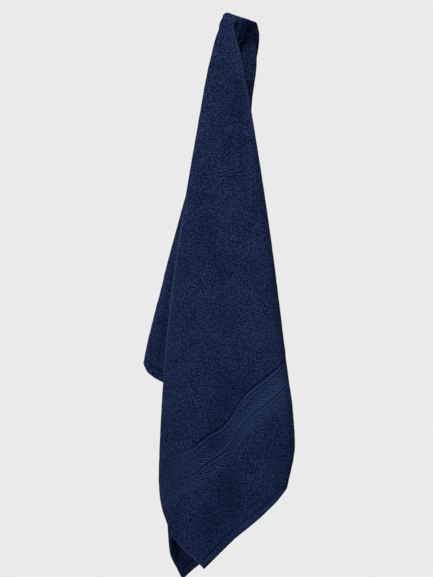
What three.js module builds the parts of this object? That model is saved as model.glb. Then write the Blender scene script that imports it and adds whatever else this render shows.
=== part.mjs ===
// A terry hand towel that hangs from a peg: one sheet of cloth, folded over the peg near the middle of
// one long side, so that it falls in a narrow bundle of folds with the far corners lowest.
// Units are millimetres, +Z is up, and the viewer's front is -Y.
// The origin is the underside of the top fold, where a peg carries the cloth.
import * as THREE from "three";

// The cloth as it is cut and hemmed, with a flat woven border across each end.
const CLOTH_LENGTH = 760;
const PILE_THICKNESS = 2.4;
const BORDER_THICKNESS = 1.8;
const PRESSED_THICKNESS = 1.5;
const BORDER_FROM_HEM = 66;
const BORDER_WIDTH = 29;
const BORDER_STEP = 6;

// The top fold, which bends round the peg and slopes down to the right.
const PEG_BEND_RADIUS = 11;
const TOP_FOLD_SLOPE = -0.36;
const TOP_FOLD_FADE = 45;
const TOP_CORNER_X = -11;
const TOP_CORNER_RADIUS = 5;

// The tables give the inside face of the cloth at the top fold, and the middle of the cloth below this drop.
const INSET_END_DROP = 16;

// The pile is pressed where the cloth bunches at the top, and full below this drop.
const PRESSED_END_DROP = 70;

// Half the depth of the bundle at a few drops below the top fold.
const BUNDLE_DROPS = [PEG_BEND_RADIUS, 24, 45, 95, 300, 560];
const BUNDLE_HALF_DEPTHS = [PEG_BEND_RADIUS, 16, 20, 22, 25, 28];

// The drops at which the fold lines' places are given, from the ridge of the top fold down. The mouth is the
// opening under the top fold, and a fold's last place is at its own foot.
const MOUTH_DROP = 10;
const STATION_DROPS = [0, MOUTH_DROP, 38, 95, 220, 320, 422, 472];

// One row for each fold line, in the order in which the cloth runs. x holds its side-to-side places at the
// stations above its foot, layers its front-to-back places at the ridge and the mouth, closes the drops
// between which it folds shut, and footX, drop and length its foot: how far down it is, and how far along
// the cloth from the front hem.
const FOLDS = [
  {
    name: "front selvedge", x: [15.5, 9, 4, 4, 20, 28],
    layers: [1.4, 4], closes: [10, 38], footX: 30, drop: 344, length: 0,
  },
  {
    name: "tuck fold", x: [6, 2, -14, -23, -42, -50],
    layers: [1.2, 3.2], closes: [10, 38], footX: -55, drop: 361, length: 0,
  },
  {
    name: "right fold", x: [-4, -5, -0.6, 10.2, 29.4, 42, 53.4],
    layers: [0.5, 0.3], closes: [10, 38], footX: 46.4, drop: 464, length: 0,
  },
  {
    name: "left fold", x: [-10, -18.6, -27.8, -38.6, -60.6, -72.2, -78.5, -79.2],
    layers: [0.8, 0.8], closes: [16, 65], footX: -70.4, drop: 506, length: 54,
  },
  {
    name: "gusset fold", x: [-16, -20, -20.5, -4, 14, 24],
    layers: [3.5, 3.5], closes: [16, 65], footX: 36, drop: 427, length: 380,
  },
  {
    name: "back left fold", x: [-10, -18.6, -26.6, -36, -57, -68, -74, -74],
    layers: [6.2, 6.2], closes: [16, 65], footX: -69.4, drop: 531, length: 706,
  },
  {
    name: "back right fold", x: [-4, 10, 16, 10.4, 20, 30, 40],
    layers: [6.3, 5.9], closes: [12, 45], footX: 42.4, drop: 467, length: 760,
  },
  {
    name: "flap fold", x: [6, 14, 3, -35, -63.4, -91],
    layers: [5.8, 8.2], closes: [12, 45], footX: -96, drop: 345, length: 760,
  },
  {
    name: "back selvedge", x: [15.5, 18.3, 15.5, 4, 18, 26],
    layers: [5.6, 9.3], closes: [12, 45], footX: 28, drop: 344, length: 760,
  },
];

// One row for each panel between two fold lines: its layer, counted from the front of the bundle, how far it
// bulges in layers, the columns between its points, and its points as shares of its width, with their feet.
const PANELS = [
  {
    name: "tuck inner", layer: 4, bulge: 0, steps: 1,
    shares: [0.3, 0.7], drops: [349, 356], lengths: [0, 0],
  },
  {
    name: "tuck", layer: 3, bulge: 0, steps: 1,
    shares: [0.3, 0.7], drops: [388, 425], lengths: [0, 0],
  },
  {
    name: "front", layer: 0, bulge: -0.3, steps: 2,
    shares: [0.16, 0.44, 0.712], drops: [491, 518, 547.5], lengths: [0, 0, 0],
  },
  {
    name: "gusset front", layer: 1, bulge: 0, steps: 1,
    shares: [0.3, 0.7], drops: [484, 453], lengths: [150, 280],
  },
  {
    name: "gusset back", layer: 2, bulge: 0, steps: 1,
    shares: [0.3, 0.7], drops: [453, 487], lengths: [480, 610],
  },
  {
    name: "back", layer: 5, bulge: 0.2, steps: 2,
    shares: [0.07, 0.4, 0.75], drops: [561.5, 533, 496], lengths: [760, 760, 760],
  },
  {
    name: "flap", layer: 6, bulge: 0, steps: 1,
    shares: [0.3, 0.7], drops: [431, 375], lengths: [760, 760],
  },
  {
    name: "flap inner", layer: 7, bulge: 0, steps: 1,
    shares: [0.3, 0.7], drops: [346, 345], lengths: [760, 760],
  },
];
const LAST_LAYER = PANELS.length - 1;

// A turn at a fold line: its columns, its greatest half width, also as a share of the panels beside it, and
// how far its two sides spread towards the neighbouring points, across the cloth at the open mouth and down
// the cloth at the foot.
const TURN_STEPS = 2;
const TURN_HALF_WIDTH = 5;
const TURN_PANEL_SHARE = 0.25;
const OPEN_TURN_SHARE = 0.3;
const FOOT_TURN_SHARE = 0.3;

// The rows of the sheet as shares of the way from the top fold to the foot.
const ROWS = [
  0, 0.0018, 0.006, 0.013, 0.023, 0.036, 0.055, 0.08, 0.11, 0.15, 0.2, 0.26, 0.33,
  0.4, 0.47, 0.54, 0.61, 0.68, 0.735, 0.765, 0.8, 0.835, 0.88, 0.94, 1,
];

const TOWEL_NAVY = 0x1a2c54;

const { lerp, smoothstep, clamp } = THREE.MathUtils;

// A smooth curve through the values at the given places.
function along(places, values, at) {
  const last = places.length - 1;
  let k = 0;
  while (k < last - 1 && at > places[k + 1]) k += 1;
  const slope = (a, b) => (values[b] - values[a]) / (places[b] - places[a]);
  const span = places[k + 1] - places[k];
  const s = clamp((at - places[k]) / span, 0, 1);
  const leave = slope(Math.max(k - 1, 0), k + 1) * span;
  const arrive = slope(k, Math.min(k + 2, last)) * span;
  return (
    values[k] * (2 * s ** 3 - 3 * s ** 2 + 1) +
    leave * (s ** 3 - 2 * s ** 2 + s) +
    values[k + 1] * (3 * s ** 2 - 2 * s ** 3) +
    arrive * (s ** 3 - s ** 2)
  );
}

// Front-to-back place of a layer at a drop: on the bend over the peg first, then in the spreading bundle.
function depthOf(layer, drop) {
  const side = (2 * layer) / LAST_LAYER - 1;
  if (drop >= PEG_BEND_RADIUS) return side * along(BUNDLE_DROPS, BUNDLE_HALF_DEPTHS, drop);
  const rise = 1 - drop / PEG_BEND_RADIUS;
  return side * PEG_BEND_RADIUS * Math.sqrt(1 - rise * rise);
}

// How far the top fold lies above or below the origin: on its slope, with a rounded corner at the left.
function topFoldHeight(x) {
  const past = clamp((TOP_CORNER_X - x) / TOP_CORNER_RADIUS, 0, 1);
  return TOP_FOLD_SLOPE * x - TOP_CORNER_RADIUS * (1 - Math.sqrt(1 - past * past));
}

// Side-to-side place of a fold line at a drop.
function foldX(fold, drop) {
  const places = [...STATION_DROPS.slice(0, fold.x.length), fold.drop];
  return along(places, [...fold.x, fold.footX], drop);
}

// Where a fold line is in one row: how far down, how far it is folded, its place from side to side, and its
// place from front to back, both open and folded.
function foldAt(k, share) {
  const fold = FOLDS[k];
  const drop = share * fold.drop;
  const [before, after] = [PANELS[k - 1] ?? PANELS[k], PANELS[k] ?? PANELS[k - 1]];
  const folded = smoothstep(drop, ...fold.closes);
  const openLayer = lerp(...fold.layers, smoothstep(drop, 0, MOUTH_DROP));
  const layer = lerp(openLayer, (before.layer + after.layer) / 2, folded);
  const [x, y] = [foldX(fold, drop), depthOf(layer, drop)];
  return { fold, before, after, drop, folded, openLayer, layer, x, y };
}

// The points of one row round a fold line: spread towards its neighbours while it is open, and a tight turn
// between its two layers where it is folded. A selvedge has one point.
function foldPoints(k, share) {
  const { fold, before, after, drop, folded, openLayer, layer, x, y } = foldAt(k, share);
  const shared = { length: fold.length };
  if (k === 0 || k === FOLDS.length - 1) return [{ ...shared, x, layer, drop, steps: after.steps }];

  const [previous, next] = [foldAt(k - 1, share), foldAt(k + 1, share)];
  const between = Math.abs(depthOf(after.layer, drop) - depthOf(before.layer, drop));
  const narrowest = Math.min(Math.hypot(previous.x - x, previous.y - y), Math.hypot(next.x - x, next.y - y));
  const half = Math.min(between / 2, TURN_HALF_WIDTH, TURN_PANEL_SHARE * narrowest);
  const turnedX = x + Math.sign(previous.x + next.x - 2 * x) * half;
  const side = (panel, neighbour, foot, steps) => ({
    ...shared,
    x: lerp(lerp(x, neighbour.x, OPEN_TURN_SHARE), turnedX, folded),
    layer: lerp(lerp(openLayer, neighbour.openLayer, OPEN_TURN_SHARE), panel.layer, folded),
    drop: share * lerp(fold.drop, foot, FOOT_TURN_SHARE),
    steps,
  });
  return [
    side(before, previous, before.drops.at(-1), TURN_STEPS),
    { ...shared, x, layer, drop, steps: TURN_STEPS },
    side(after, next, after.drops[0], after.steps),
  ];
}

// All points of one row: those of the folds, and between them those of the panels.
function rowPoints(share) {
  const folds = FOLDS.map((fold, k) => foldPoints(k, share));
  return folds.flatMap((points, k) => {
    const panel = PANELS[k];
    if (!panel) return points;
    const [start, end] = [points.at(-1), folds[k + 1][0]];
    const inner = panel.shares.map((s, n) => {
      const drop = share * panel.drops[n];
      const bulge = panel.bulge * Math.sin(Math.PI * s) * smoothstep(drop, 0, CLOTH_LENGTH / 2);
      return {
        x: lerp(start.x, end.x, s),
        layer: lerp(start.layer, end.layer, s) + bulge,
        drop,
        length: panel.lengths[n],
        steps: panel.steps,
      };
    });
    return [...points, ...inner];
  });
}

// One row of the middle of the cloth as places in space, each with its place along the cloth's length. The
// section is a smooth curve, and the foot runs straight from point to point, so that corners stay sharp.
function clothRow(share) {
  const points = rowPoints(share);
  const section = new THREE.CatmullRomCurve3(
    points.map(({ x, layer, drop }) => new THREE.Vector3(x, depthOf(layer, drop), 0)),
  );
  const last = points.length - 1;
  const cloth = (k, s) => {
    const next = points[Math.min(k + 1, last)];
    const drop = lerp(points[k].drop, next.drop, s);
    const place = section.getPoint((k + s) / last);
    place.z = topFoldHeight(place.x) * (1 - smoothstep(drop, 0, TOP_FOLD_FADE)) - drop;
    const inset = 1 - smoothstep(drop, 0, INSET_END_DROP);
    const full = smoothstep(drop, INSET_END_DROP, PRESSED_END_DROP);
    const footLength = lerp(points[k].length, next.length, s);
    return { place, inset, full, length: lerp(CLOTH_LENGTH / 2, footLength, share) };
  };
  const row = points.slice(0, -1).flatMap(({ steps }, k) =>
    Array.from({ length: steps }, (_, step) => cloth(k, step / steps)),
  );
  return [...row, cloth(last, 0)];
}

// The cloth's thickness at a place along its length: full in the pile, and thin in the border at each end
// and where the pile is pressed.
function thicknessAt(length, full) {
  const fromHem = Math.min(length, CLOTH_LENGTH - length);
  const fromMiddle = Math.abs(fromHem - BORDER_FROM_HEM - BORDER_WIDTH / 2);
  const inPile = smoothstep(fromMiddle, (BORDER_WIDTH - BORDER_STEP) / 2, (BORDER_WIDTH + BORDER_STEP) / 2);
  return lerp(PRESSED_THICKNESS, lerp(BORDER_THICKNESS, PILE_THICKNESS, inPile), full);
}

// A closed solid of the cloth's thickness round its middle surface. The front and back halves of the first
// row are the same places: the ridge of the top fold.
function clothGeometry() {
  const rows = ROWS.map(clothRow);
  const columns = rows[0].length;
  const ridge = (columns - 1) / 2;
  const middle = [];
  const index = rows.map((row, j) =>
    row.map((point, i) => (j === 0 && i > ridge ? null : middle.push(point) - 1)),
  );
  for (let i = ridge + 1; i < columns; i += 1) index[0][i] = index[0][columns - 1 - i];

  const faces = [];
  const addFace = (a, b, c) => {
    if (a !== b && b !== c && c !== a) faces.push([a, b, c]);
  };
  for (let j = 0; j < rows.length - 1; j += 1) {
    for (let i = 0; i < columns - 1; i += 1) {
      const [a, b, c, d] = [index[j][i], index[j][i + 1], index[j + 1][i + 1], index[j + 1][i]];
      addFace(a, c, b);
      addFace(a, d, c);
    }
  }

  const normals = middle.map(() => new THREE.Vector3());
  const triangle = new THREE.Triangle();
  const normal = new THREE.Vector3();
  faces.forEach((face) => {
    triangle.set(...face.map((v) => middle[v].place));
    triangle.getNormal(normal).multiplyScalar(triangle.getArea());
    face.forEach((v) => normals[v].add(normal));
  });

  const positions = [];
  [1, -1].forEach((side) =>
    middle.forEach(({ place, inset, full, length }, v) => {
      const offset = normals[v].clone().setLength(((side - inset) * thicknessAt(length, full)) / 2);
      positions.push(...place.clone().add(offset).toArray());
    }),
  );
  const other = (v) => v + middle.length;
  const triangles = faces.flatMap(([a, b, c]) => [a, b, c, other(a), other(c), other(b)]);

  const last = rows.length - 1;
  const rim = [
    ...index.map((row) => row[0]),
    ...index[last].slice(1),
    ...index.slice(0, last).reverse().map((row) => row[columns - 1]),
  ];
  rim.slice(0, -1).forEach((a, k) => {
    const b = rim[k + 1];
    triangles.push(a, other(a), b, b, other(a), other(b));
  });

  return new THREE.BufferGeometry()
    .setAttribute("position", new THREE.Float32BufferAttribute(positions, 3))
    .setIndex(triangles);
}

const towel = new THREE.Mesh(
  clothGeometry(),
  new THREE.MeshStandardMaterial({ color: TOWEL_NAVY, roughness: 0.95, metalness: 0 }),
);
towel.name = "towel";

const model = new THREE.Group();
model.add(towel);
export default model;
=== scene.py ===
import math

import bpy
import numpy as np
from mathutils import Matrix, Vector, noise


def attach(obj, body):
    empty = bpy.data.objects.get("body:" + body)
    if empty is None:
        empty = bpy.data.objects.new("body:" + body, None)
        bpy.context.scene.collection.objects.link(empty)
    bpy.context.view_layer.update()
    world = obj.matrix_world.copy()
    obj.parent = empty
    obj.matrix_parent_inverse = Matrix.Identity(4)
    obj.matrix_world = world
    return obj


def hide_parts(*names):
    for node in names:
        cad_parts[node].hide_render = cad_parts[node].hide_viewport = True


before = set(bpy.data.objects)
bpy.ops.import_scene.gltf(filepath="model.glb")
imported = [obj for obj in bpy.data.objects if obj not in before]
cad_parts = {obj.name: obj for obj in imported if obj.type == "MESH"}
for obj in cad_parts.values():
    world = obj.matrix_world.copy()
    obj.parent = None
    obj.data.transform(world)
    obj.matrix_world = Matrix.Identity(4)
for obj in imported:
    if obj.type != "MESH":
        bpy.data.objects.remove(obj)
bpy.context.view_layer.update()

MM = 0.001
LEAST_STEP = 1e-6
LEAST_LENGTH = 1e-9
LEAST_DEPTH = 1

# The cloth as it is cut and hemmed. HEM_STEP is in shares of the hem's width, and HEM_SHOWS in drops.
CLOTH_WIDTH = 450
CLOTH_LENGTH = 760
PILE_THICKNESS = 2.6
BORDER_THICKNESS = 1.9
HEM_THICKNESS = 2.5
PRESSED_THICKNESS = 1.5
BORDER_FROM_HEM = 66
BORDER_WIDTH = 29
BORDER_STEP = 3
HEM_WIDTH = 8
HEM_STEP = [0.8, 1.1]
HEM_SHOWS = [60, 130]
HEM_HIDDEN = 10
AT_HEM = 1
SELVEDGE_WIDTH = 3

# How far the front's border is pulled out of line with the hem, at places from left to right.
BORDER_SKEW_PLACES = [-85, -62, -46, -30, -18, -10, 0, 8, 24, 55]
BORDER_SKEWS = [-4, 2.3, 8, 7.8, 9, 7, -0.5, -4.2, -6.2, -8]

# The top fold over the peg's place. Its right end leans forwards.
PEG_BEND_RADIUS = 11
TOP_FOLD_SLOPE = -0.36
TOP_FOLD_FADE = 45
TOP_CORNER_X = -11
TOP_CORNER_RADIUS = 5
LEAN_PLACES = [-9, 8]
LEAN_END_DROP = 26
LEAN_DEPTH = 7
LEAN_FALL = 0.2
INSET_END_DROP = 16
PRESSED_END_DROP = 70

# Half the depth of the bundle at a few drops below the top fold.
BUNDLE_DROPS = [PEG_BEND_RADIUS, 24, 45, 95, 300, 560]
BUNDLE_HALF_DEPTHS = [PEG_BEND_RADIUS, 16, 20, 22, 25, 28]

# The fold lines, in the order in which the cloth runs: places from side to side at the stations, layers from
# front to back at the ridge and the mouth, the drops between which the fold closes, and the foot's place,
# drop and place on the flat cloth. Some also have a half width of their turn, a share by which their foot
# turns to the next feet, a layer that keeps the upper part sharp, or a painted highlight line's first and
# last drop and strength.
MOUTH_DROP = 10
STATION_DROPS = [0, MOUTH_DROP, 38, 95, 220, 320, 422, 472]
FOLDS = [
    dict(
        name="front selvedge", x=[15.5, 6, -3, 1, 20, 28], layers=[3.2, 4], closes=[3, 18],
        foot_x=30, drop=344, flat=(450, 0),
    ),
    dict(
        name="tuck fold", x=[6, 2, -14, -23, -42, -50], layers=[3, 3.4], closes=[3, 18],
        foot_x=-55, drop=361, flat=(300, 0),
    ),
    dict(
        name="right fold", x=[-5, -7, -0.4, 9.7, 29.2, 42, 53.3], layers=[0.5, 0.3], closes=[2, 12],
        foot_x=46.6, drop=461, flat=(129, 0), turn=3.9, foot_turn=0.36, sharp=0.4, light=(0, 125, 0.4),
    ),
    dict(
        name="left fold", x=[-10, -18.6, -27.8, -38.6, -59.4, -71.8, -78.5, -79.2], layers=[0.8, 0.8],
        closes=[16, 65], foot_x=-70.4, drop=501, flat=(0, 54), turn=2.6, foot_turn=0.25,
        light=(190, 400, 0.95),
    ),
    dict(
        name="gusset fold", x=[-16, -20, -20.5, -4, 14, 24], layers=[3.5, 3.5], closes=[16, 65],
        foot_x=36, drop=427, flat=(0, 380),
    ),
    dict(
        name="back left fold", x=[-10, -18.6, -26.6, -36, -57, -68, -74, -74], layers=[6.2, 6.2],
        closes=[16, 65], foot_x=-69.4, drop=531, flat=(0, 706), foot_turn=0.55,
    ),
    dict(
        name="back right fold", x=[-4, 10, 16, 10.4, 20, 30, 40], layers=[6.3, 5.9], closes=[12, 45],
        foot_x=42.4, drop=467, flat=(129, 760),
    ),
    dict(
        name="flap fold", x=[6, 14, 3, -28, -65.2, -90.8], layers=[5.8, 8.2], closes=[12, 45],
        foot_x=-96, drop=345, flat=(300, 760), light=(230, 380, 0.25),
    ),
    dict(
        name="back selvedge", x=[16.3, 19.2, 16.2, 4, 18, 26], layers=[5.6, 9.3], closes=[12, 45],
        foot_x=28, drop=344, flat=(450, 760),
    ),
]

# The panels between the fold lines: layer, bulge, columns between points, and points as shares of the width
# with the drops and flat places of their feet.
PANELS = [
    dict(
        name="tuck inner", layer=4, bulge=0, steps=4,
        shares=[0.3, 0.7], drops=[349, 356], flat=[(405, 0), (345, 0)],
    ),
    dict(
        name="tuck", layer=3, bulge=0, steps=4,
        shares=[0.3, 0.7], drops=[388, 425], flat=[(249, 0), (180, 0)],
    ),
    dict(
        name="front", layer=0, bulge=-0.3, steps=12,
        shares=[0.154, 0.44, 0.712], drops=[490.7, 517.3, 546.9], flat=[(100, 0), (49, 0), (0, 0)],
    ),
    dict(
        name="gusset front", layer=1, bulge=0, steps=3,
        shares=[0.3, 0.7], drops=[484, 453], flat=[(0, 150), (0, 280)],
    ),
    dict(
        name="gusset back", layer=2, bulge=0, steps=3,
        shares=[0.3, 0.7], drops=[453, 487], flat=[(0, 480), (0, 610)],
    ),
    dict(
        name="back", layer=5, bulge=0.2, steps=12,
        shares=[0.07, 0.4, 0.75], drops=[561.5, 533, 496], flat=[(0, 760), (52, 760), (98, 760)],
    ),
    dict(
        name="flap", layer=6, bulge=0, steps=4,
        shares=[0.3, 0.7], drops=[431, 375], flat=[(180, 760), (249, 760)],
    ),
    dict(
        name="flap inner", layer=7, bulge=0, steps=4,
        shares=[0.3, 0.7], drops=[346, 345], flat=[(345, 760), (405, 760)],
    ),
]
LAST_LAYER = len(PANELS) - 1
PANEL_NAMES = [panel["name"] for panel in PANELS]
FRONT_PANEL = PANEL_NAMES.index("front")
FLAP_PANEL = PANEL_NAMES.index("flap")

# Soft creases of the front and the flap: from and to a place, width, and rise towards the front. Their rise
# also paints shade into their troughs and a highlight onto their ridges.
CREASES = [
    dict(name="trough above the border", start=(-8, -372), end=(-26, -412), width=17, rise=-2.6),
    dict(name="ridge along the border", start=(46, -366), end=(0, -409), width=14, rise=2.4),
    dict(name="left end of the border", start=(-74, -425), end=(-62, -472), width=15, rise=-1.8),
    dict(name="hollow of the border", start=(-24, -424), end=(-50, -446), width=11, rise=-1.5),
    dict(name="trough under the ridge", start=(-8, -474), end=(-28, -502), width=19, rise=-2.6),
    dict(name="hollow at the right", start=(46, -424), end=(38, -456), width=11, rise=-1.3),
    dict(name="upper hollow", start=(-15, -26), end=(-13, -84), width=9, rise=-1.3),
    dict(name="raised hem", start=(34, -486), end=(8, -506), width=5, rise=1.2),
    dict(name="lower hem", start=(-12, -524), end=(-34, -545), width=6, rise=-0.9),
    dict(name="left edge", start=(-65, -214), end=(-70, -262), width=3, rise=1.2),
    dict(name="lower left edge", start=(-70, -262), end=(-76.5, -362), width=3, rise=1.2),
    dict(name="long trough at the right", start=(0, -66), end=(4, -160), width=6, rise=-1.6),
    dict(name="upper pull", start=(-18, -204), end=(10, -187), width=5, rise=1),
    dict(name="middle pull", start=(-8, -250), end=(22, -232), width=5, rise=1),
    dict(name="left hollow", start=(-30, -215), end=(-14, -258), width=12, rise=-1.6),
    dict(name="lower pull", start=(-36, -283), end=(-8, -267), width=6, rise=1),
    dict(name="right swell", start=(12, -334), end=(22, -306), width=11, rise=1.3),
    dict(name="left swell", start=(-62, -330), end=(-58, -300), width=10, rise=1.4),
]
FLAP_CREASES = [
    dict(name="tuck behind the left fold", start=(-67, -252), end=(-81, -372), width=9, rise=-1.6),
]
CREASED_FRONT = [0.4, 0.75]
FLAP_EDGE = [1, 7]

# Painted highlight along some folds and along the free edge of the front's corner, where the pile catches the
# light.
FOLD_LIGHT_WIDTH = 2.2
FOLD_LIGHT_FADE = 20
CORNER_LIGHT = 0.3

# Painted shade inside the top fold, darkest at its right end.
INSIDE_TONE = 9
INSIDE_DROPS = [9, 17]
INSIDE_PLACES = [-9, 12]

# The turns at the fold lines. A sharp fold keeps its layer down to the first of its drops.
SHARP_DROPS = [130, 280]
TURN_STEPS = 5
TURN_HALF_WIDTH = 5
TURN_PANEL_SHARE = 0.25
OPEN_TURN_SHARE = 0.3
FOOT_TURN_SHARE = 0.3

# The fine grid of the cloth: rows from the top fold to the foot, closer together at the top.
ROW_COUNT = 205
ROW_POWER = 1.2
shares = (np.arange(ROW_COUNT + 1) / ROW_COUNT) ** ROW_POWER


def lerp(a, b, t):
    return a + (b - a) * t


def smoothstep(value, low, high):
    t = np.clip((value - low) / (high - low), 0, 1)
    return t * t * (3 - 2 * t)


def along(places, values, at):
    """A smooth curve through the values at the given places."""
    places = np.asarray(places, float)
    values = np.asarray(values, float)
    last = len(places) - 1
    k = np.clip(np.searchsorted(places, at, side="left") - 1, 0, last - 1)
    before = np.maximum(k - 1, 0)
    after = np.minimum(k + 2, last)
    span = places[k + 1] - places[k]
    s = np.clip((at - places[k]) / span, 0, 1)
    leave = (values[k + 1] - values[before]) / (places[k + 1] - places[before]) * span
    arrive = (values[after] - values[k]) / (places[after] - places[k]) * span
    return (
        values[k] * (2 * s**3 - 3 * s**2 + 1)
        + leave * (s**3 - 2 * s**2 + s)
        + values[k + 1] * (3 * s**2 - 2 * s**3)
        + arrive * (s**3 - s**2)
    )


def depth_of(layer, drop):
    """Front-to-back place of a layer: on the bend over the peg first, then in the spreading bundle."""
    rise = np.clip(1 - drop / PEG_BEND_RADIUS, 0, 1)
    bend = PEG_BEND_RADIUS * np.sqrt(1 - rise * rise)
    half = np.where(drop < PEG_BEND_RADIUS, bend, along(BUNDLE_DROPS, BUNDLE_HALF_DEPTHS, drop))
    return (2 * layer / LAST_LAYER - 1) * half


def top_fold_height(x):
    """Height of the top fold: on its slope, with a rounded corner at the left."""
    past = np.clip((TOP_CORNER_X - x) / TOP_CORNER_RADIUS, 0, 1)
    return TOP_FOLD_SLOPE * x - TOP_CORNER_RADIUS * (1 - np.sqrt(1 - past * past))


def fold_at(k):
    """Where a fold line is in each row."""
    fold = FOLDS[k]
    before = PANELS[max(k - 1, 0)]
    after = PANELS[min(k, LAST_LAYER)]
    drop = shares * fold["drop"]
    folded = smoothstep(drop, *fold["closes"])
    open_layer = lerp(*fold["layers"], smoothstep(drop, 0, MOUTH_DROP))
    closed_layer = (before["layer"] + after["layer"]) / 2
    if "sharp" in fold:
        closed_layer = lerp(fold["sharp"], closed_layer, smoothstep(drop, *SHARP_DROPS))
    layer = lerp(open_layer, closed_layer, folded)
    places = STATION_DROPS[: len(fold["x"])] + [fold["drop"]]
    x = along(places, fold["x"] + [fold["foot_x"]], drop)
    return dict(
        fold=fold, before=before, after=after, drop=drop, folded=folded,
        open_layer=open_layer, layer=layer, x=x, y=depth_of(layer, drop),
    )


def fold_points(k):
    """The points round a fold line: spread while it is open, and a tight turn where it is folded."""
    at = fold_at(k)
    fold = at["fold"]
    middle = dict(
        x=at["x"], layer=at["layer"], drop=at["drop"], flat=fold["flat"], steps=TURN_STEPS,
        panel=min(k, LAST_LAYER), fold=fold["name"],
    )
    if k in (0, len(FOLDS) - 1):
        return [dict(middle, steps=at["after"]["steps"])]
    previous = fold_at(k - 1)
    following = fold_at(k + 1)
    between = np.abs(depth_of(at["after"]["layer"], at["drop"]) - depth_of(at["before"]["layer"], at["drop"]))
    gaps = [np.hypot(other["x"] - at["x"], other["y"] - at["y"]) for other in (previous, following)]
    widest = fold.get("turn", TURN_HALF_WIDTH)
    half = np.minimum(np.minimum(between / 2, widest), TURN_PANEL_SHARE * np.minimum(*gaps))
    turned = at["x"] + np.sign(previous["x"] + following["x"] - 2 * at["x"]) * half

    def side(number, neighbour, foot, steps):
        panel = PANELS[number]
        open_x = lerp(at["x"], neighbour["x"], OPEN_TURN_SHARE)
        open_layer = lerp(at["open_layer"], neighbour["open_layer"], OPEN_TURN_SHARE)
        return dict(
            x=lerp(open_x, turned, at["folded"]),
            layer=lerp(open_layer, panel["layer"], at["folded"]),
            drop=shares * lerp(fold["drop"], foot, fold.get("foot_turn", FOOT_TURN_SHARE)),
            flat=fold["flat"],
            steps=steps,
            panel=number,
        )

    return [
        side(k - 1, previous, at["before"]["drops"][-1], TURN_STEPS),
        middle,
        side(k, following, at["after"]["drops"][0], at["after"]["steps"]),
    ]


def section_points():
    """All points across the cloth: those of the folds, and between them those of the panels."""
    folds = [fold_points(k) for k in range(len(FOLDS))]
    points = []
    for k, fold in enumerate(folds):
        points += fold
        if k == len(PANELS):
            break
        panel = PANELS[k]
        start = fold[-1]
        end = folds[k + 1][0]
        for share, foot, flat in zip(panel["shares"], panel["drops"], panel["flat"]):
            drop = shares * foot
            bulge = panel["bulge"] * math.sin(math.pi * share) * smoothstep(drop, 0, CLOTH_LENGTH / 2)
            points.append(
                dict(
                    x=lerp(start["x"], end["x"], share),
                    layer=lerp(start["layer"], end["layer"], share) + bulge,
                    drop=drop,
                    flat=flat,
                    steps=panel["steps"],
                    panel=k,
                )
            )
    return points


def curve_through(p0, p1, p2, p3, s):
    """A point on the smooth curve from p1 to p2, with the points before and after them."""
    pairs = (p0, p1), (p1, p2), (p2, p3)
    d0, d1, d2 = (np.maximum(np.hypot(*(b - a)), LEAST_STEP) ** 0.5 for a, b in pairs)
    leave = ((p1 - p0) / d0 - (p2 - p0) / (d0 + d1) + (p2 - p1) / d1) * d1
    arrive = ((p2 - p1) / d1 - (p3 - p1) / (d1 + d2) + (p3 - p2) / d2) * d1
    return (
        p1 * (2 * s**3 - 3 * s**2 + 1)
        + leave * (s**3 - 2 * s**2 + s)
        + p2 * (3 * s**2 - 2 * s**3)
        + arrive * (s**3 - s**2)
    )


def cloth_grid():
    """The cloth's middle as rows by columns: places, drops, places on the flat cloth, and panels."""
    points = section_points()
    section = [np.array([p["x"], depth_of(p["layer"], p["drop"])]) for p in points]
    section = [2 * section[0] - section[1], *section, 2 * section[-1] - section[-2]]
    columns = []
    for k, point in enumerate(points[:-1]):
        following = points[k + 1]
        for step in range(point["steps"] + (k == len(points) - 2)):
            s = step / point["steps"]
            x, y = curve_through(*section[k : k + 4], s)
            drop = lerp(point["drop"], following["drop"], s)
            z = top_fold_height(x) * (1 - smoothstep(drop, 0, TOP_FOLD_FADE)) - drop
            foot = lerp(np.array(point["flat"], float), np.array(following["flat"], float), s)
            start = np.array([CLOTH_WIDTH, CLOTH_LENGTH / 2])
            flat = start + shares[:, None] * (foot - start)
            columns.append((np.stack([x, y, z], 1), drop, flat, np.full(len(drop), point["panel"])))
    return tuple(np.stack(layer, 1) for layer in zip(*columns))


def fold_column(name):
    """The number of the column that runs along a fold line."""
    count = 0
    for point in section_points():
        if point.get("fold") == name:
            break
        count += point["steps"]
    return count


def crease_rise(creases, x, z):
    """How far the creases lift the cloth at a place."""
    rise = np.zeros_like(x)
    for crease in creases:
        start = np.array(crease["start"], float)
        line = np.array(crease["end"], float) - start
        share = np.clip(((x - start[0]) * line[0] + (z - start[1]) * line[1]) / (line @ line), 0, 1)
        away = np.hypot(x - start[0] - share * line[0], z - start[1] - share * line[1])
        rise += crease["rise"] * np.exp(-((away / crease["width"]) ** 2))
    return rise


# The folded cloth, with its creases, the lean of the top fold's end, and the painted shade inside it.
place, drop, flat, panel_number = cloth_grid()
lean = smoothstep(place[:, :, 0], *LEAN_PLACES) * np.clip(1 - drop / LEAN_END_DROP, 0, 1) ** 2
front_share = -place[:, :, 1] / np.maximum(-depth_of(0, drop), LEAST_DEPTH)
at_front = smoothstep(front_share, *CREASED_FRONT)
from_flap_fold = place[:, :, 0] - place[:, [fold_column("flap fold")], 0]
on_flap = (panel_number == FLAP_PANEL) * smoothstep(from_flap_fold, *FLAP_EDGE)
rise = at_front * crease_rise(CREASES, place[:, :, 0], place[:, :, 2])
rise += on_flap * crease_rise(FLAP_CREASES, place[:, :, 0], place[:, :, 2])
inside_shade = (panel_number < FRONT_PANEL) * smoothstep(place[:, :, 0], *INSIDE_PLACES)
inside_shade *= 1 - smoothstep(drop, *INSIDE_DROPS)
# The tone: the creases' rise, which paints shade and highlight, less the painted shade inside the top fold.
tone = rise - INSIDE_TONE * inside_shade
place[:, :, 1] -= rise + LEAN_DEPTH * lean
place[:, :, 2] -= LEAN_FALL * lean
row_count, column_count = drop.shape
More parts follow.
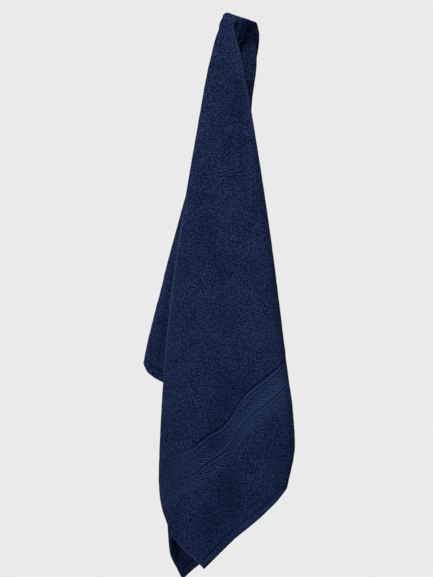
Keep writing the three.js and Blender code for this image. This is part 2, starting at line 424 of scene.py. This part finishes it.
ridge = (column_count - 1) // 2


def steps_from(grid, axis):
    """Running length of the cloth along its rows or columns."""
    lengths = np.linalg.norm(np.diff(grid, axis=axis), axis=2)
    start = np.zeros_like(np.take(lengths, [0], axis=axis))
    return np.cumsum(np.concatenate([start, lengths], axis=axis), axis=axis)


# Lengths along the cloth, and by them the border, the painted highlight lines and the hems.
across = steps_from(place, 1)
down = steps_from(place, 0)
from_end = np.minimum(flat[:, :, 1], CLOTH_LENGTH - flat[:, :, 1])
from_end[:, :ridge] += along(BORDER_SKEW_PLACES, BORDER_SKEWS, place[:, :ridge, 0])
to_foot = down[-1:] - down
# Painted highlight along the folds and the front corner's free edge.
fold_light = np.zeros_like(drop)
for fold in FOLDS:
    if "light" in fold:
        first, last, strength = fold["light"]
        away = across - across[:, [fold_column(fold["name"])]]
        starts = smoothstep(drop, first, first + FOLD_LIGHT_FADE)
        ends = 1 - smoothstep(drop, last - FOLD_LIGHT_FADE, last)
        fold_light += strength * starts * ends * np.exp(-((away / FOLD_LIGHT_WIDTH) ** 2))
to_selvedge = np.minimum(across, across[:, -1:] - across)
foot_at_hem = np.minimum(flat[-1:, :, 1], CLOTH_LENGTH - flat[-1:, :, 1]) < AT_HEM
front_corner = (panel_number == FRONT_PANEL) & ~foot_at_hem
fold_light += CORNER_LIGHT * front_corner * np.exp(-((to_foot / FOLD_LIGHT_WIDTH) ** 2))
foot_width = np.where(foot_at_hem, HEM_WIDTH, SELVEDGE_WIDTH)
hem = np.minimum(to_foot / foot_width, to_selvedge / SELVEDGE_WIDTH)
hem += HEM_HIDDEN * (1 - smoothstep(drop, *HEM_SHOWS))
run = np.where(to_foot / foot_width < to_selvedge / SELVEDGE_WIDTH, across[-1:], down)

# Thickness of the cloth: full pile, thin in the border, pressed where it bunches.
from_border = np.abs(from_end - BORDER_FROM_HEM - BORDER_WIDTH / 2)
in_pile = smoothstep(from_border, (BORDER_WIDTH - BORDER_STEP) / 2, (BORDER_WIDTH + BORDER_STEP) / 2)
thickness = lerp(BORDER_THICKNESS, PILE_THICKNESS, in_pile)
thickness = lerp(HEM_THICKNESS, thickness, smoothstep(hem, *HEM_STEP))
thickness = lerp(PRESSED_THICKNESS, thickness, smoothstep(drop, INSET_END_DROP, PRESSED_END_DROP))
inset = 1 - smoothstep(drop, 0, INSET_END_DROP)

# The grid's numbers, where the front and back halves of the first row are one ridge.
index = np.arange(row_count * column_count).reshape(row_count, column_count)
index[0, ridge + 1 :] = index[0, :ridge][::-1]
quads = np.stack([index[:-1, :-1], index[1:, :-1], index[1:, 1:], index[:-1, 1:]], 2).reshape(-1, 4)

points = place.reshape(-1, 3)
normals = np.zeros_like(points)
diagonals = points[quads[:, 2]] - points[quads[:, 0]], points[quads[:, 3]] - points[quads[:, 1]]
face_normals = np.cross(*diagonals)
for corner in range(4):
    np.add.at(normals, quads[:, corner], face_normals)
normals /= np.maximum(np.linalg.norm(normals, axis=1), LEAST_LENGTH)[:, None]

half = thickness.reshape(-1, 1) / 2
shift = inset.reshape(-1, 1)
front = points + normals * half * (1 - shift)
back = points - normals * half * (1 + shift)
rim = np.concatenate([index[:, 0], index[-1, 1:], index[-2:0:-1, -1]])

# The mesh: the cloth's two faces, and a rounded edge between them all round.
PILE_ROUGHNESS = 0.2
PILE_PATCH = 7.0
FRONT_PATCHES_FROM = 0
BACK_PATCHES_FROM = 50
EDGE_ROUNDNESS = 0.8


def roughened(face, patches_from):
    """Small uneven rises of the pile, so that the cloth isn't smooth."""
    rise = [noise.noise(Vector(p) / PILE_PATCH + Vector((patches_from, 0, 0))) for p in face]
    return face + normals * (np.array(rise) * PILE_ROUGHNESS)[:, None]


outward = np.zeros_like(place)
outward[:, 0] += place[:, 0] - place[:, 1]
outward[:, -1] += place[:, -1] - place[:, -2]
outward[-1] += place[-1] - place[-2]
outward = outward.reshape(-1, 3)[rim]
outward /= np.maximum(np.linalg.norm(outward, axis=1), LEAST_LENGTH)[:, None]
front = roughened(front, FRONT_PATCHES_FROM)
back = roughened(back, BACK_PATCHES_FROM)
edge = (front[rim] + back[rim]) / 2 + outward * half[rim] * EDGE_ROUNDNESS

used = np.zeros(len(points), bool)
used[quads] = True
numbers = np.cumsum(used) - 1
kept = np.flatnonzero(used)
front_faces = numbers[quads]
back_faces = numbers[quads[:, ::-1]] + len(kept)
rim_front = numbers[rim]
rim_back = rim_front + len(kept)
rim_edge = np.arange(len(rim)) + 2 * len(kept)


def strip(a, b):
    """The faces between two lines of the edge."""
    return np.stack([a, b, np.roll(b, -1), np.roll(a, -1)], 1)


vertices = np.concatenate([front[kept], back[kept], edge]) * MM
faces = np.concatenate([front_faces, back_faces, strip(rim_front, rim_edge), strip(rim_edge, rim_back)])


def for_vertices(grid):
    """One value of the grid for each of the mesh's vertices."""
    values = grid.reshape(-1)
    return np.concatenate([values[kept], values[kept], values[rim]])


# The weave is measured from the middle of each panel, so that its loops keep their size all over.
PANEL_WEAVE_SHIFT = 37.3
weave_shift = PANEL_WEAVE_SHIFT * panel_number
for number in range(len(PANELS)):
    inside = np.flatnonzero(panel_number[0] == number)
    weave_shift[:, inside] -= across[:, [inside[len(inside) // 2]]]
at_left = (across + weave_shift)[:, :-1]
at_right = across[:, 1:] + weave_shift[:, :-1]
face_weave = np.stack([at_left[:-1], at_left[1:], at_right[1:], at_right[:-1]], 2).reshape(-1, 4)
rim_weave = (across + weave_shift).reshape(-1)[rim]
rim_weave = strip(rim_weave, rim_weave)
weave_x = np.concatenate([face_weave, face_weave[:, ::-1], rim_weave, rim_weave])

# The border stands out most at the right of the front, and hardly on the flap.
BORDER_FADE_PLACES = [-75, -30]
BORDER_FADE_LEAST = 0.15
FLAP_FADE_PLACES = [140, 220]
FLAP_FADE_LEAST = 0.08
border_shows = lerp(BORDER_FADE_LEAST, 1, smoothstep(place[:, :, 0], *BORDER_FADE_PLACES))
flap_shows = lerp(1, FLAP_FADE_LEAST, smoothstep(flat[:, :, 0], *FLAP_FADE_PLACES))
border_shows[:, ridge:] = flap_shows[:, ridge:]

mesh = bpy.data.meshes.new("towel_cloth")
mesh.from_pydata(vertices.tolist(), [], faces.tolist())
mesh.validate()
mesh.shade_smooth()
fields = dict(
    from_end=from_end, hem=np.minimum(hem, HEM_HIDDEN), run=run, tone=tone, weave_y=down,
    border_shows=border_shows, fold_light=fold_light,
)
for name, grid in fields.items():
    layer = mesh.attributes.new(name, "FLOAT", "POINT")
    layer.data.foreach_set("value", for_vertices(grid).astype(np.float32))
layer = mesh.attributes.new("weave_x", "FLOAT", "CORNER")
layer.data.foreach_set("value", weave_x.reshape(-1).astype(np.float32))
uv = np.stack([for_vertices(flat[:, :, 0]), for_vertices(flat[:, :, 1])], 1) / CLOTH_LENGTH
corners = np.zeros(len(mesh.loops), np.int32)
mesh.loops.foreach_get("vertex_index", corners)
mesh.uv_layers.new(name="flat").data.foreach_set("uv", uv[corners].astype(np.float32).reshape(-1))
cloth = bpy.data.objects.new("towel_cloth", mesh)
bpy.context.collection.objects.link(cloth)

# The terry material: looped pile, a flat woven border with ribs, and stitched hems. Its colours come first.
PILE_COLOUR = (0.0362, 0.0630, 0.1620, 1)
PILE_SHADE = (0.0005, 0.0020, 0.0125, 1)
BORDER_COLOUR = (0.0222, 0.0418, 0.1060, 1)
BORDER_SHADE = (0.0008, 0.0030, 0.0160, 1)
CORD_COLOUR = (0.0210, 0.0380, 0.0960, 1)
HEM_COLOUR = (0.0165, 0.0305, 0.0780, 1)
STITCH_COLOUR = (0.0160, 0.0300, 0.0750, 1)
# Painted highlight colour on the creases' ridges.
RIDGE_HIGHLIGHT_COLOUR = (0.0330, 0.0620, 0.1650, 1)
# Painted highlight colour along the folds and the front corner's edge.
FOLD_HIGHLIGHT_COLOUR = (0.0560, 0.0900, 0.2100, 1)

# Sizes of the pile: its loops, how far they wander, its patches, and its finest grain.
LOOP_PITCH = 2.0
ROW_PITCH = 1.5
LOOP_SCATTER = 0.5
LOOP_REACH = 0.75
WANDER_SIZE = 9 * MM
WANDER_LOOPS = 2.2
PATCH_SIZE = 26 * MM
PATCH_DETAIL = 3.0
PATCH_ROUGHNESS = 0.6
PATCH_RANGE = [0.3, 0.7]
GRAIN_SCALE = 900.0
GRAIN_RANGE = [0.3, 0.7]

# Sizes of the border. Each of its cords and grooves runs between two distances from the hem, with a strength.
BORDER_SOFT = 1.5
TWILL_PITCH = 1.65
TWILL_SLANT = 0.53
TWILL_UNEVEN = 1.7
TWILL_UNEVEN_SCALE = 350.0
TWILL_RANGE = [-0.5, 0.8]
CORDS = [(92, 93.8, 0.55), (88.7, 90.3, 0.3), (76.9, 78.3, 0.45), (73.3, 74.7, 0.25)]
GROOVES = [(94.3, 96, 0.65), (90.4, 91.4, 0.3), (75.2, 76.4, 0.5), (71.9, 72.8, 0.25)]
LINE_SOFT = 0.8

# Sizes of the hem, in shares of its width, and of its stitches.
HEM_FADE = [0.85, 1.0]
SEAM_PLACE = [0.92, 1.15]
SEAM_SOFT = 0.1
STITCH_PLACE = [0.78, 0.92]
STITCH_SOFT = 0.06
STITCH_PITCH = 3.2
STITCH_RANGE = [-0.4, 0.1]

# How much of each shade or light is mixed into the colour. Tones are rises of the creases in millimetres.
DARK_LOOP_SHARE = 0.5
PATCH_SHARE = 0.28
# Painted shade on the pile between the border and the hem.
END_PILE_SHADE_SHARE = 0.08
END_PILE_FADE = [BORDER_FROM_HEM - 4, BORDER_FROM_HEM + 2]
BORDER_LOOP_SHARE = 0.55
# Shares of the painted shade in the creases' troughs and inside the top fold, and of the painted highlight on
# the ridges.
CREASE_TONE = 3.5
TROUGH_SHADE_SHARE = 0.38
INSIDE_SHADE_SHARE = 0.6
RIDGE_HIGHLIGHT_SHARE = 0.2
# Share of the painted highlight along the folds and the front corner's edge.
FOLD_HIGHLIGHT_SHARE = 0.7
SEAM_SHARE = 0.6
STITCH_SHARE = 0.5

# The relief of the surface: heights as shares of a loop's height, and the heights of a loop and a patch.
TWILL_DEPTH = 0.35
CORD_HEIGHT = 0.7
GROOVE_DEPTH = 1.3
STITCH_HEIGHT = 0.3
SEAM_DEPTH = 0.6
GRAIN_HEIGHT = 0.2
LOOP_RELIEF = 0.9 * MM
PATCH_RELIEF = 3.0 * MM

terry = bpy.data.materials.new("terry")
terry.use_nodes = True
nodes = terry.node_tree.nodes
links = terry.node_tree.links
nodes.clear()


def add(kind, inputs=(), **settings):
    """A new node with its settings, and its inputs as values or other nodes' outputs."""
    made = nodes.new(kind)
    for name, value in settings.items():
        setattr(made, name, value)
    for key, value in dict(inputs).items():
        if isinstance(value, bpy.types.NodeSocket):
            links.new(value, made.inputs[key])
        else:
            made.inputs[key].default_value = value
    return made


def maths(operation, a, b=0.0):
    return add("ShaderNodeMath", {0: a, 1: b}, operation=operation).outputs[0]


def ramp(value, low, high, start=0.0, end=1.0):
    limits = {"Value": value, "From Min": low, "From Max": high, "To Min": start, "To Max": end}
    return add("ShaderNodeMapRange", limits, interpolation_type="SMOOTHSTEP").outputs["Result"]


def band(value, low, high, soft):
    """One between low and high, and nothing outside them."""
    rise = ramp(value, low - soft / 2, low + soft / 2)
    fall = ramp(value, high - soft / 2, high + soft / 2, 1.0, 0.0)
    return maths("MULTIPLY", rise, fall)


def mix(share, a, b):
    return add("ShaderNodeMix", {0: share, 6: a, 7: b}, data_type="RGBA").outputs[2]


def attribute(name):
    return add("ShaderNodeAttribute", attribute_name=name).outputs["Fac"]


def bump(height, distance, normal=None):
    inputs = {"Height": height, "Distance": distance, "Strength": 1.0}
    if normal:
        inputs["Normal"] = normal
    return add("ShaderNodeBump", inputs).outputs["Normal"]


where = add("ShaderNodeTexCoord").outputs["Object"]
end_distance = attribute("from_end")
hem_place = attribute("hem")
edge_run = attribute("run")
crease_tone = attribute("tone")
loop_columns = maths("DIVIDE", attribute("weave_x"), LOOP_PITCH)
loop_rows = maths("DIVIDE", attribute("weave_y"), ROW_PITCH)
straight = add("ShaderNodeCombineXYZ", {"X": loop_columns, "Y": loop_rows}).outputs[0]
wander_inputs = {"Vector": where, "Scale": 1 / WANDER_SIZE, "Detail": 1.0}
wander = add("ShaderNodeTexNoise", wander_inputs).outputs["Color"]
wander = add("ShaderNodeVectorMath", {0: wander, "Scale": WANDER_LOOPS}, operation="SCALE").outputs[0]
weave = add("ShaderNodeVectorMath", {0: straight, 1: wander}, operation="ADD").outputs[0]

# Where each weave is.
border_top = BORDER_FROM_HEM + BORDER_WIDTH
border_strength = attribute("border_shows")
in_border = maths("MULTIPLY", band(end_distance, BORDER_FROM_HEM, border_top, BORDER_SOFT), border_strength)
in_hem = ramp(hem_place, *HEM_FADE, 1.0, 0.0)
in_loops = maths("MULTIPLY", maths("SUBTRACT", 1.0, in_border), maths("SUBTRACT", 1.0, in_hem))

# Loops of the pile, each a little lighter or darker, and larger patches where the pile lies differently.
loop_inputs = {"Vector": weave, "Scale": 1.0, "Randomness": LOOP_SCATTER}
loop_cells = add("ShaderNodeTexVoronoi", loop_inputs, voronoi_dimensions="2D")
loops = ramp(loop_cells.outputs["Distance"], 0.0, LOOP_REACH, 1.0, 0.0)
loop_tone = add("ShaderNodeSeparateColor", {"Color": loop_cells.outputs["Color"]}).outputs[0]
patch_detail = {"Detail": PATCH_DETAIL, "Roughness": PATCH_ROUGHNESS}
patches = add("ShaderNodeTexNoise", {"Vector": where, "Scale": 1 / PATCH_SIZE, **patch_detail})
patch = patches.outputs["Fac"]
grain = add("ShaderNodeTexNoise", {"Vector": where, "Scale": GRAIN_SCALE, "Detail": 2.0}).outputs["Fac"]

# The border's slanting weave, and its two pairs of raised cords with grooves beside them.
uneven_inputs = {"Vector": where, "Scale": TWILL_UNEVEN_SCALE, "Detail": 1.0}
uneven = add("ShaderNodeTexNoise", uneven_inputs).outputs["Fac"]
uneven_end = maths("ADD", end_distance, maths("MULTIPLY", uneven, TWILL_UNEVEN))
slant = maths("SUBTRACT", uneven_end, maths("MULTIPLY", edge_run, TWILL_SLANT))
twill_wave = maths("SINE", maths("MULTIPLY", slant, 2 * math.pi / TWILL_PITCH))
twill_gaps = maths("MULTIPLY", in_border, ramp(twill_wave, *TWILL_RANGE))


def lines(places):
    """Lines along the border, each at its distances from the hem and with its strength."""
    total = 0.0
    for low, high, strength in places:
        total = maths("ADD", total, maths("MULTIPLY", band(end_distance, low, high, LINE_SOFT), strength))
    return maths("MULTIPLY", total, border_strength)


cords = lines(CORDS)
grooves = lines(GROOVES)

# Stitches along the seam of the hem.
stitch_row = band(hem_place, *STITCH_PLACE, STITCH_SOFT)
stitch_wave = maths("SINE", maths("MULTIPLY", edge_run, 2 * math.pi / STITCH_PITCH))
stitches = maths("MULTIPLY", stitch_row, ramp(stitch_wave, *STITCH_RANGE))
seam = band(hem_place, *SEAM_PLACE, SEAM_SOFT)

# The colour, from the pile up to the stitches.
dark_loop = mix(DARK_LOOP_SHARE, PILE_COLOUR, PILE_SHADE)
loop_colour = mix(ramp(loop_tone, 0.0, 1.0), dark_loop, PILE_COLOUR)
pile_colour = mix(loops, PILE_SHADE, loop_colour)
pile_colour = mix(ramp(patch, *PATCH_RANGE, PATCH_SHARE, 0.0), pile_colour, PILE_SHADE)
# Painted shade on the pile between the border and the hem.
beyond_border = ramp(end_distance, *END_PILE_FADE, END_PILE_SHADE_SHARE, 0.0)
pile_colour = mix(maths("MULTIPLY", beyond_border, border_strength), pile_colour, PILE_SHADE)
border_colour = mix(twill_gaps, BORDER_COLOUR, BORDER_SHADE)
between_loops = maths("SUBTRACT", 1.0, loops)
border_colour = mix(maths("MULTIPLY", between_loops, BORDER_LOOP_SHARE), border_colour, PILE_SHADE)
border_colour = mix(cords, border_colour, CORD_COLOUR)
colour = mix(in_border, pile_colour, border_colour)
colour = mix(grooves, colour, PILE_SHADE)
colour = mix(in_hem, colour, mix(ramp(grain, *GRAIN_RANGE), HEM_COLOUR, BORDER_SHADE))
# Painted shade in the creases' troughs.
colour = mix(ramp(crease_tone, -CREASE_TONE, 0.0, TROUGH_SHADE_SHARE, 0.0), colour, PILE_SHADE)
# Painted shade inside the top fold.
colour = mix(ramp(crease_tone, -INSIDE_TONE, -CREASE_TONE, INSIDE_SHADE_SHARE, 0.0), colour, PILE_SHADE)
# Painted highlight on the creases' ridges.
colour = mix(ramp(crease_tone, 0.0, CREASE_TONE, 0.0, RIDGE_HIGHLIGHT_SHARE), colour, RIDGE_HIGHLIGHT_COLOUR)
# Painted highlight along the folds and the front corner's edge.
colour = mix(maths("MULTIPLY", attribute("fold_light"), FOLD_HIGHLIGHT_SHARE), colour, FOLD_HIGHLIGHT_COLOUR)
colour = mix(maths("MULTIPLY", seam, SEAM_SHARE), colour, PILE_SHADE)
colour = mix(maths("MULTIPLY", stitches, STITCH_SHARE), colour, STITCH_COLOUR)

# The relief, in heights of a loop.
height = maths("MULTIPLY", loops, in_loops)
height = maths("SUBTRACT", height, maths("MULTIPLY", twill_gaps, TWILL_DEPTH))
height = maths("ADD", height, maths("MULTIPLY", cords, CORD_HEIGHT))
height = maths("SUBTRACT", height, maths("MULTIPLY", grooves, GROOVE_DEPTH))
height = maths("ADD", height, maths("MULTIPLY", stitches, STITCH_HEIGHT))
height = maths("SUBTRACT", height, maths("MULTIPLY", seam, SEAM_DEPTH))
height = maths("ADD", height, maths("MULTIPLY", grain, GRAIN_HEIGHT))
normal = bump(height, LOOP_RELIEF, bump(patch, PATCH_RELIEF))

shader = add(
    "ShaderNodeBsdfPrincipled",
    {
        "Base Color": colour,
        "Roughness": 0.92,
        "Specular IOR Level": 0.0,
        "Sheen Weight": 0.03,
        "Sheen Roughness": 0.4,
        "Sheen Tint": (0.35, 0.5, 0.9, 1),
        "Normal": normal,
    },
)
links.new(shader.outputs[0], add("ShaderNodeOutputMaterial").inputs["Surface"])
mesh.materials.append(terry)

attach(cloth, "root")
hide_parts("towel")

# A plain studio: a pale round floor, well below the cloth.
FLOOR_HEIGHT = -0.9
FLOOR_RADIUS = 3.0
FLOOR_SIDES = 96
PAPER_COLOUR = (0.76, 0.752, 0.756, 1)
turns = [2 * math.pi * k / FLOOR_SIDES for k in range(FLOOR_SIDES)]
floor_points = [(FLOOR_RADIUS * math.cos(t), FLOOR_RADIUS * math.sin(t), FLOOR_HEIGHT) for t in turns]
floor_mesh = bpy.data.meshes.new("studio_floor")
floor_mesh.from_pydata(floor_points, [], [list(range(FLOOR_SIDES))])
studio_floor = bpy.data.objects.new("studio_floor", floor_mesh)
bpy.context.collection.objects.link(studio_floor)
paper = bpy.data.materials.new("studio_paper")
paper.use_nodes = True
paper_shader = paper.node_tree.nodes["Principled BSDF"]
paper_shader.inputs["Base Color"].default_value = PAPER_COLOUR
paper_shader.inputs["Roughness"].default_value = 0.9
floor_mesh.materials.append(paper)


def soft_light(name, at, towards, size, power):
    """A large square light that faces a point: its place in metres, its side, and its power in watts."""
    lamp = bpy.data.lights.new(name, "AREA")
    lamp.size = size
    lamp.energy = power
    made = bpy.data.objects.new(name, lamp)
    made.location = at
    made.rotation_euler = (Vector(towards) - Vector(at)).to_track_quat("-Z", "Y").to_euler()
    bpy.context.collection.objects.link(made)


CLOTH_MIDDLE = (-0.02, 0, -0.27)
soft_light("key", (-0.4, -1.7, 2.0), CLOTH_MIDDLE, 1.0, 86)
soft_light("fill", (-1.7, -1.8, 0.3), CLOTH_MIDDLE, 1.4, 22)
soft_light("back", (0.9, 2.4, 0.6), CLOTH_MIDDLE, 1.6, 60)

# The studio's walls are a pale plain backdrop on every side, and give only a little light.
BACKDROP_COLOUR = (0.831, 0.827, 0.829, 1)
BACKDROP_LIGHT = 0.2
world = bpy.data.worlds.new("studio")
world.use_nodes = True
backdrop = world.node_tree.nodes["Background"]
backdrop.inputs["Color"].default_value = BACKDROP_COLOUR
backdrop.inputs["Strength"].default_value = BACKDROP_LIGHT
shown = world.node_tree.nodes.new("ShaderNodeBackground")
shown.inputs["Color"].default_value = BACKDROP_COLOUR
seen = world.node_tree.nodes.new("ShaderNodeLightPath")
either = world.node_tree.nodes.new("ShaderNodeMixShader")
world.node_tree.links.new(seen.outputs["Is Camera Ray"], either.inputs[0])
world.node_tree.links.new(backdrop.outputs[0], either.inputs[1])
world.node_tree.links.new(shown.outputs[0], either.inputs[2])
world.node_tree.links.new(either.outputs[0], world.node_tree.nodes["World Output"].inputs["Surface"])
bpy.context.scene.world = world
bpy.context.scene.view_settings.view_transform = "Standard"

# The camera faces the cloth from the front, at the picture's own scale of a pixel to a millimetre.
IMAGE_HEIGHT = 577
CAMERA_X = -23.5
CAMERA_DISTANCE = 2800
CAMERA_HEIGHT = -270.1
SENSOR = 36
camera_data = bpy.data.cameras.new("camera")
camera_data.sensor_fit = "VERTICAL"
camera_data.sensor_height = SENSOR
camera_data.lens = SENSOR * CAMERA_DISTANCE / IMAGE_HEIGHT
camera = bpy.data.objects.new("camera", camera_data)
camera.location = (CAMERA_X * MM, -CAMERA_DISTANCE * MM, CAMERA_HEIGHT * MM)
camera.rotation_euler = (math.pi / 2, 0, 0)
bpy.context.collection.objects.link(camera)
bpy.context.scene.camera = camera
